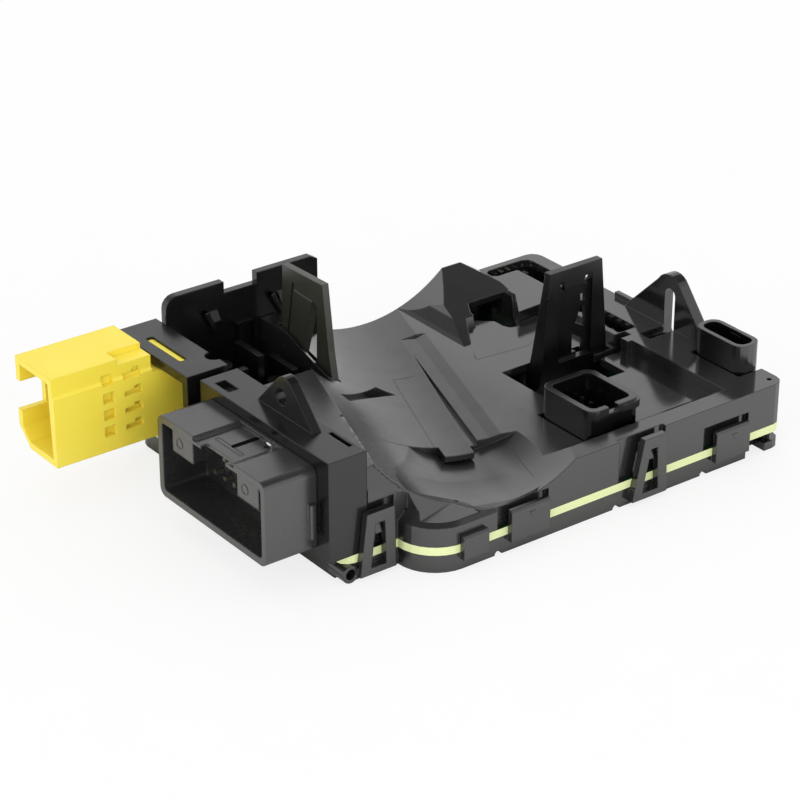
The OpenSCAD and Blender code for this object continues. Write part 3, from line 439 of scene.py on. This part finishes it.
# The groove's mouth in the lip: from and to across, the row it starts at, and its floor
GROOVE = (2.8, 4.6)
GROOVE_ALONG = 21
GROOVE_FLOOR = 3.7
# The slanted facet rises by FACET_RISE per millimetre from the lobe's flat top. The skirt is cut
# FACET_CUT behind the facet's foot, and keeps what stands FACET_LEAST or more above the lobe
FACET_TURN = math.radians(13.7)
FACET_X = -9.5
FACET_Y = 6.3
FACET_RISE = 1.2
FACET_CUT = 0.05
FACET_LEAST = 0.04
LOBE_H = 4.4
# How round the dish's rim and the facet's upper edge are
RIM_RADIUS = 0.06
FACET_RADIUS = 0.2
# The chamfer along the lobe's front edge starts at CHAMFER_Y and CHAMFER_H
CHAMFER_Y = -0.1
CHAMFER_H = 3.45
CHAMFER_RISE = 1.0417
CHAMFER_BACK_Y = 3
# The skirt's plan: its hood, the carrier's side, the lobe's and the front tab's two ends
HOOD_X = -26.0
HOOD_Y = 8.03
CARRIER_X = -20.03
LOBE_X = -9.0
TAB_X = (-4.4, 6.9)
FRONT_Y = 0.05
TAB_Y = 0.95
# The skirt's lattice in the column's frame
SKIRT_FRONT = -4.0
SKIRT_LEFT = -24.0
SKIRT_RIGHT = 10.0
ROWS = 100
LEFT_STEPS = 26
RIGHT_STEPS = 80
# The dish's left rim is sought between these two places across, by halving
RIM_FROM = -19.0
RIM_TO = -2.0
HALVINGS = 30
# A skin stays this far below a packed face that it runs into, and goes this deep at its sides
SINK = 0.01
SIDE_DEPTH = 0.3


def column(x, y):
    """A plan point in the column's frame: across its axis, then along it."""
    across = (x - AXIS_X) * math.cos(AXIS_TURN) - y * math.sin(AXIS_TURN)
    along = (x - AXIS_X) * math.sin(AXIS_TURN) + y * math.cos(AXIS_TURN)
    return across, along


def plan(across, along):
    """The plan point that lies at this place in the column's frame."""
    return (AXIS_X + across * math.cos(AXIS_TURN) + along * math.sin(AXIS_TURN),
            along * math.cos(AXIS_TURN) - across * math.sin(AXIS_TURN))


def blend(a, b, share):
    """Runs smoothly from a to b as share goes from 0 to 1."""
    share = min(1.0, max(0.0, share))
    share = share * share * (3 - 2 * share)
    return a + (b - a) * share


def soft_lower(a, b, radius):
    """The lower of two heights, with the ridge between them rounded."""
    share = min(1.0, max(0.0, 0.5 + 0.5 * (b - a) / radius))
    return b + (a - b) * share - radius * share * (1 - share)


def saddle_height(across):
    """The saddle's surface, which is the same all along the column."""
    return SADDLE_H + SADDLE_R - math.sqrt(SADDLE_R ** 2 - across ** 2)


def bowl_height(across, along):
    """The dish's surface: flat between two lines that part towards the front, round outside."""
    near = min(1.0, max(0.0, (DISH_ALONG - along) / WIDEN))
    far = max(0.0, (along - DISH_ALONG) / LIP_RUN)
    left = DISH_ACROSS - SPREAD_LEFT * near
    right = DISH_ACROSS + SPREAD_RIGHT * near
    if across < left:
        bend = LEFT_BEND + LEFT_BEND_GAIN * (1 - near) - LEFT_BEND_LOSS * far
        out = min(left - across, bend * SIDE_SHARE)
    else:
        bend = RIGHT_BEND + RIGHT_BEND_GAIN * (1 - near)
        out = min(max(0.0, across - right), bend * SIDE_SHARE)
    floor = DISH_FLOOR - LIP_FALL * far + FRONT_RISE * near ** 2
    return floor + bend - math.sqrt(bend ** 2 - out ** 2)


def packed_height(across, along):
    """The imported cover's own surface below the dish."""
    return (PACKED_FLOOR + PACKED_R - math.sqrt(PACKED_R ** 2 - (across - DISH_ACROSS) ** 2)
            + PACKED_RUN_R - math.sqrt(PACKED_RUN_R ** 2 - (along - PACKED_ALONG) ** 2))


def facet_height(x, y):
    """The slanted facet that falls from the skirt to the lobe's flat top."""
    back = (y - FACET_Y) * math.cos(FACET_TURN) - (x - FACET_X) * math.sin(FACET_TURN)
    return LOBE_H + FACET_RISE * back


def skirt_height(x, y):
    """The skirt's top at this plan point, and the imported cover's height under it."""
    across, along = column(x, y)
    near_dish = abs(across - DISH_ACROSS) < PACKED_REACH
    under = packed_height(across, along) if near_dish else SHOULDER_H
    bowl = blend(bowl_height(across, along), under + RUN_IN_LIFT,
                 (across - RUN_IN_ACROSS) / RUN_IN_WIDTH)
    back = saddle_height(across) - SINK
    if across > STRIP_ACROSS:
        back = (STRIP_H + max(0.0, across - STRIP_ACROSS) * STRIP_RISE
                + max(0.0, across - STRIP_BEND) * STRIP_BEND_RISE)
    height = soft_lower(back, bowl, RIM_RADIUS)
    if GROOVE[0] < across < GROOVE[1] and along > GROOVE_ALONG:
        height = min(height, GROOVE_FLOOR)
    if x < LOBE_X:
        height = soft_lower(height, facet_height(x, y), FACET_RADIUS)
    if x < TAB_X[0] and y < CHAMFER_BACK_Y:
        height = min(height, CHAMFER_H + CHAMFER_RISE * (y - CHAMFER_Y))
    return min(height, SHOULDER_H - SINK), under


def rim_across(along):
    """Where the dish's left side meets the saddle in this row."""
    low, high = RIM_FROM, RIM_TO
    for _ in range(HALVINGS):
        middle = (low + high) / 2
        if bowl_height(middle, along) > saddle_height(middle):
            low = middle
        else:
            high = middle
    return low


def in_skirt(x, y):
    """Whether this plan point belongs to the skirt."""
    top, under = skirt_height(x, y)
    if x < CARRIER_X:
        inside = x > HOOD_X and y > HOOD_Y
    elif x < LOBE_X:
        inside = facet_height(x, y) > LOBE_H + FACET_LEAST
    elif TAB_X[0] < x < TAB_X[1]:
        inside = y > TAB_Y
    else:
        inside = y > FRONT_Y
    return inside and top >= under - SIDE_DEPTH


# A flat lattice with one line of edges along the dish's rim
skirt = bmesh.new()
lattice = []
for row in range(ROWS + 1):
    along = SKIRT_FRONT + (LIP_ALONG - SKIRT_FRONT) * row / ROWS
    rim = rim_across(along)
    steps = [SKIRT_LEFT + (rim - SKIRT_LEFT) * i / LEFT_STEPS for i in range(LEFT_STEPS)]
    steps += [rim + (SKIRT_RIGHT - rim) * i / RIGHT_STEPS for i in range(RIGHT_STEPS + 1)]
    lattice.append([skirt.verts.new((*plan(across, along), 0.0)) for across in steps])
for low, high in zip(lattice, lattice[1:]):
    for i in range(len(low) - 1):
        skirt.faces.new((low[i], low[i + 1], high[i + 1], high[i]))

# Cut along the lines where the skirt ends or changes, so that its borders are straight
cuts = [((x, 0, 0), X_AXIS) for x in (HOOD_X, CARRIER_X, LOBE_X, *TAB_X)]
cuts += [((0, y, 0), Y_AXIS) for y in (HOOD_Y, FRONT_Y, TAB_Y)]
cuts.append(((FACET_X, FACET_Y + FACET_CUT, 0), (-math.sin(FACET_TURN), math.cos(FACET_TURN), 0)))
for point, normal in cuts:
    bmesh.ops.bisect_plane(skirt, geom=skirt.verts[:] + skirt.edges[:] + skirt.faces[:],
                           dist=1e-5, plane_co=point, plane_no=normal)
outside = [face for face in skirt.faces if not in_skirt(*face.calc_center_median()[:2])]
bmesh.ops.delete(skirt, geom=outside, context="FACES")

# Give it depth: one copy follows the skirt's top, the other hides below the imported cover
lower = bmesh.ops.extrude_face_region(skirt, geom=skirt.faces[:])["geom"]
lower = {item for item in lower if isinstance(item, bmesh.types.BMVert)}
for vertex in skirt.verts:
    top, under = skirt_height(vertex.co.x, vertex.co.y)
    vertex.co.z = min(under, top) - SIDE_DEPTH if vertex in lower else top
place_piece("saddle_skirt_and_dish", skirt, cover_pbt, sharp=7)


# The harness shell: its contacts, slopes, marks, slot and plug

# Shorter contacts that start at PIN_TIP_X, since the photograph shows none from the front
PIN_TIP_X = -37.6
packed_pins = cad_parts["harness_pins"]
pins = bmesh.new()
pins.from_mesh(packed_pins.data)
pins.transform(packed_pins.matrix_world)
for vertex in pins.verts:
    vertex.co.x = max(vertex.co.x, (PIN_TIP_X + DATUM.x) * MM)
    vertex.co /= MM
    vertex.co -= DATUM
short_pins = place_piece("harness_pins_set_back", pins, tinned_brass)
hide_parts("harness_pins")

# The top of the shell's lower middle, and of the two humps beside it
MIDDLE_Z = 16.4
HUMP_Z = 17.08
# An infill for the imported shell's slot, which runs the wrong way
PACKED_SLOT = ((-41.62, 23.58, 15.2), (-40.78, 31.22, MIDDLE_Z))
# In y and z: the right hump falls to the lower middle in a slope, the left one in a short fillet
SLOPE_FOOT_Z = 16.0
RIGHT_SLOPE = ((20.4, SLOPE_FOOT_Z), (22.5, MIDDLE_Z - 0.02), (20.62, HUMP_Z), (20.4, HUMP_Z))
LEFT_SLOPE = ((33.4, SLOPE_FOOT_Z), (33.4, HUMP_Z), (33.15, HUMP_Z), (32.5, MIDDLE_Z - 0.02))
SLOPE_X = -44.7
SLOPE_LEN = 9.9
slopes = bmesh.new()
add_box(slopes, *PACKED_SLOT)
for outline in (RIGHT_SLOPE, LEFT_SLOPE):
    add_prism(slopes, outline, ((SLOPE_X, 0, 0), Y_AXIS, Z_AXIS), SLOPE_LEN)
place_piece("harness_shell_slopes", slopes, shell_pbt)

# Ejector pins leave a ring on the front of each keying block
RING_INNER = 0.85
RING_OUTER = 1.02
RING_HEIGHT = 0.07
RING_PLACES = ((-44.4, 38.43, 13.3), (-44.4, 18.29, 13.2))
rings = bmesh.new()
for place in RING_PLACES:
    add_ring(rings, (place, (0, -1, 0), Z_AXIS), RING_INNER, RING_OUTER, RING_HEIGHT)
place_piece("harness_ejector_rings", rings, shell_pbt)

# The label slot: a fine rim round a near-black floor, which is painted shade for the slot's depth. It
# stands on the imported shell, which stays uncut
SLOT_ENDS = ((-40.5, 27.15), (-35.9, 27.1))
SLOT_OUTER = 0.5
SLOT_INNER = 0.42
SLOT_RIM_Z = 16.46
SLOT_PROFILE = ((SLOT_OUTER, MIDDLE_Z - 0.02), (SLOT_OUTER, SLOT_RIM_Z),
                (SLOT_INNER, SLOT_RIM_Z), (SLOT_INNER, MIDDLE_Z + 0.005))
label_slot = bmesh.new()
add_skin(label_slot, [[(x, y, z) for x, y in bar_outline(*SLOT_ENDS, radius, count=4)]
                      for radius, z in SLOT_PROFILE])
place_piece("harness_label_slot", label_slot, painted_shade_black)

# The plug starts inside the shell and stands a little above its middle
PLUG_PLACE = (-34.95, 24.4, 16.2)
PLUG_RADIUS = 0.62
PLUG_HEIGHT = 0.3
plug = bmesh.new()
add_prism(plug, circle(PLUG_RADIUS, count=24), (PLUG_PLACE, X_AXIS, Y_AXIS), PLUG_HEIGHT, soft=0.05)
place_piece("harness_vent_plug", plug, nylon)


# The rear panel's snap fingers, ledges and closed window

# The fingers, ledges and posts grow forward from just inside the panel's front face
PANEL_Y = 71.02
# The two ends of each finger in x and z, its radius and how far it stands out
FINGERS = (((-17.8, 18.5), (-16.0, 14.7)), ((-3.0, 18.3), (-0.7, 14.3)))
FINGER_RADIUS = 0.52
FINGER_OUT = 1.3
# Two ledges, each on its post: x from and to, front, and z from and to
LEDGE_Y = 68.9
POST_Y = 69.6
LEDGES_AND_POSTS = ((-11.9, -8.3, LEDGE_Y, 14.9, 15.5), (-10.9, -9.9, POST_Y, 8.0, 14.9),
                    (-6.0, -2.5, LEDGE_Y, 9.6, 10.2), (-5.2, -4.4, POST_Y, 5.0, 9.6))
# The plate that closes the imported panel's window
WINDOW_PLATE = ((-9.78, 71.7, 7.02), (-6.82, 72.4, 13.68))
panel = bmesh.new()
for start, end in FINGERS:
    add_prism(panel, bar_outline(start, end, FINGER_RADIUS),
              ((0, PANEL_Y, 0), X_AXIS, Z_AXIS), FINGER_OUT, soft=0.2)
for x0, x1, front, z0, z1 in LEDGES_AND_POSTS:
    add_box(panel, (x0, front, z0), (x1, PANEL_Y, z1), soft=0.1)
add_box(panel, *WINDOW_PLATE)
place_piece("rear_panel_fingers_and_ribs", panel, carrier_pbt)


# Small marks of the moulding

# A line's section: out from its middle, and up from the saddle
LINE_PROFILE = ((-0.09, -0.05), (-0.045, 0.035), (0.045, 0.035), (0.09, -0.05))


def add_line(mesh_code, points):
    """A fine raised line over the saddle, through points given across and along the column."""
    add_skin(mesh_code, [[(*plan(across + offset, along), saddle_height(across + offset) + lift)
                          for offset, lift in LINE_PROFILE] for across, along in points])


# The inserts of the tool meet along the tongue's left side and behind its root
PARTING_CORNER = (-2.25, 52.0)
# How far each line runs from the corner, across and along, and its number of steps
PARTING_RUNS = ((-1.22, -28.1, 10), (4.3, 0.4, 6))
lines = bmesh.new()
for run_across, run_along, count in PARTING_RUNS:
    add_line(lines, [(PARTING_CORNER[0] + run_across * i / count,
                      PARTING_CORNER[1] + run_along * i / count) for i in range(count + 1)])
place_piece("saddle_parting_lines", lines, cover_pbt)

# A small triangle on the face of each wide snap tab points down
ARROW = ((-0.7, 0.5), (0.0, -0.7), (0.7, 0.5))
ARROW_PLACES = ((2.4, -1.16, 1.6), (50.2, -1.16, 1.6))
ARROW_HEIGHT = 0.12
arrows = bmesh.new()
for place in ARROW_PLACES:
    add_prism(arrows, ARROW, (place, X_AXIS, Z_AXIS), ARROW_HEIGHT, soft=0.03)
place_piece("tab_direction_marks", arrows, cover_pbt)

# The locating hole at the dish's front: a near-black disc, HOLE_LIFT above the skirt, that paints the
# hole's shade on the surface
HOLE = (-8.3, 7.1)
HOLE_RADIUS = 0.6
HOLE_LIFT = 0.03
hole = bmesh.new()
add_prism(hole, circle(HOLE_RADIUS, count=24),
          ((*HOLE, skirt_height(*HOLE)[0] - SIDE_DEPTH), X_AXIS, Y_AXIS), SIDE_DEPTH + HOLE_LIFT)
place_piece("dish_locating_hole_painted_shade", hole, painted_shade_black)


# The deck in front of the rear header, and the slim socket's rim

# The plate's plan: its back follows the mouth of the rear header's pocket
DECK_EDGE = ((26.9, 45.6), (38.5, 44.4), (44.0, 46.8), (48.0, 52.6), (44.4, 52.7), (42.2, 52.5),
             (41.0, 52.9), (40.35, 54.2), (40.4, 57.0), (37.0, 60.0), (33.6, 57.2), (29.8, 51.5))
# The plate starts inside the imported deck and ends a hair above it
DECK_Z = 4.4
DECK_THICK = 1.07
deck = bmesh.new()
add_prism(deck, DECK_EDGE, ((0, 0, DECK_Z), X_AXIS, Y_AXIS), DECK_THICK, soft=0.12)
place_piece("deck_before_header", deck, cover_pbt)

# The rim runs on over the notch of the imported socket
NOTCH_INFILL = ((62.72, 11.58, 13.0), (63.58, 14.02, 13.9))
infill = bmesh.new()
add_box(infill, *NOTCH_INFILL, soft=0.04)
place_piece("slim_socket_rim_infill", infill, socket_pbt)


# Camera, fitted to the straight edges of the photograph; metres
CAMERA_PLACE = (-0.2813, -0.3557, 0.2416)
CAMERA_TILT = 27.16
CAMERA_AZIMUTH = -36.91
SENSOR = 36.0
# The focal length and the picture's width in the photograph's pixels
FOCAL_PIXELS = 2742.7
PHOTO_WIDTH_PIXELS = 800
LENS = FOCAL_PIXELS * SENSOR / PHOTO_WIDTH_PIXELS
CLIP_START = 0.01
CLIP_END = 50

# The point that every lamp faces, in metres
LAMP_AIM = (0, 0, 0.01)

camera = bpy.data.objects.new("camera", bpy.data.cameras.new("camera"))
bpy.context.scene.collection.objects.link(camera)
camera.location = CAMERA_PLACE
camera.rotation_euler = (math.radians(90 - CAMERA_TILT), 0, math.radians(CAMERA_AZIMUTH))
camera.data.sensor_width = SENSOR
camera.data.lens = LENS
camera.data.clip_start = CLIP_START
camera.data.clip_end = CLIP_END
bpy.context.scene.camera = camera


def softbox(name, place, size, watts):
    """A rectangular soft lamp that faces LAMP_AIM; its place and size in metres, its power in watts."""
    lamp = bpy.data.lights.new(name, "AREA")
    lamp.shape = "RECTANGLE"
    lamp.size, lamp.size_y = size
    lamp.energy = watts
    held = bpy.data.objects.new(name, lamp)
    bpy.context.scene.collection.objects.link(held)
    held.location = place
    aim = Vector(LAMP_AIM) - Vector(place)
    held.rotation_euler = aim.to_track_quat("-Z", "Y").to_euler()
    held.visible_glossy = False


# Place, size and watts of each lamp
softbox("softbox_top", (0.05, 0.05, 0.75), (0.7, 0.7), 0.5)
softbox("softbox_back", (0.45, 0.60, 0.45), (0.9, 0.4), 0.7)
softbox("softbox_left", (-0.70, -0.25, 0.30), (0.5, 0.4), 1.3)
softbox("softbox_front", (-0.15, -0.75, 0.22), (0.5, 0.3), 1.2)

# World: white to the eye and plain as a light. Mirrored, it is pale round the sides and falls off
# overhead, as in a tent that is lit from its walls.
WHITE = (1, 1, 1, 1)
LIGHT_LEVEL = 0.92
WALL_TOP_Z = 0.47
ROOF_Z = 0.74
WALL_LEVEL = 0.95
ROOF_LEVEL = 0.08
world = bpy.data.worlds.new("studio")
bpy.context.scene.world = world
world.use_nodes = True
world.cycles.sampling_method = "NONE"
sky = world.node_tree
sky.nodes.clear()
rays = add(sky, "LightPath").node
seen = add(sky, "Math", {0: rays.outputs["Is Camera Ray"], 1: rays.outputs["Is Transmission Ray"]},
           operation="MAXIMUM")
plain = add(sky, "MapRange", {0: seen, 1: 0.0, 2: 1.0, 3: LIGHT_LEVEL, 4: 1.0})
upward = add(sky, "SeparateXYZ", {0: add(sky, "TexCoord")}).node.outputs[2]
mirrored = add(sky, "MapRange", {0: upward, 1: WALL_TOP_Z, 2: ROOF_Z, 3: WALL_LEVEL, 4: ROOF_LEVEL})
strength = add(sky, "Mix", {0: rays.outputs["Is Glossy Ray"], 2: plain, 3: mirrored})
background = add(sky, "Background", {"Color": WHITE, "Strength": strength})
add(sky, "OutputWorld", {"Surface": background})

# Floor: pale matt board that keeps a faint shadow. It reaches FLOOR_REACH metres each way, and lies
# a hair below the module
FLOOR_WHITE_SHARE = 0.8
FLOOR_REACH = 4.0
FLOOR_GRAINS_PER_METRE = 900.0
FLOOR_Z = -0.0001
floor_material, tree = new_material("floor_matt_board")
rays = add(tree, "LightPath").node
grain = add(tree, "TexNoise", {"Scale": FLOOR_GRAINS_PER_METRE, "Detail": 2.0})
tone = add(tree, "Mix", {0: grain, 6: linear("#f0f0ef"), 7: linear("#eaeae9")},
           data_type="RGBA").node.outputs[2]
board = add(tree, "BsdfDiffuse", {"Color": tone})
white = add(tree, "Emission", {"Color": WHITE, "Strength": 1.0})
share = add(tree, "Math", {0: rays.outputs["Is Camera Ray"], 1: FLOOR_WHITE_SHARE},
            operation="MULTIPLY")
add(tree, "OutputMaterial", {"Surface": add(tree, "MixShader", {0: share, 1: board, 2: white})})
plane = bmesh.new()
bmesh.ops.create_grid(plane, x_segments=1, y_segments=1, size=FLOOR_REACH)
floor_mesh = bpy.data.meshes.new("floor")
plane.to_mesh(floor_mesh)
plane.free()
floor_mesh.materials.append(floor_material)
floor = bpy.data.objects.new("floor", floor_mesh)
bpy.context.scene.collection.objects.link(floor)
floor.location.z = FLOOR_Z

bpy.context.scene.view_settings.view_transform = "Standard"
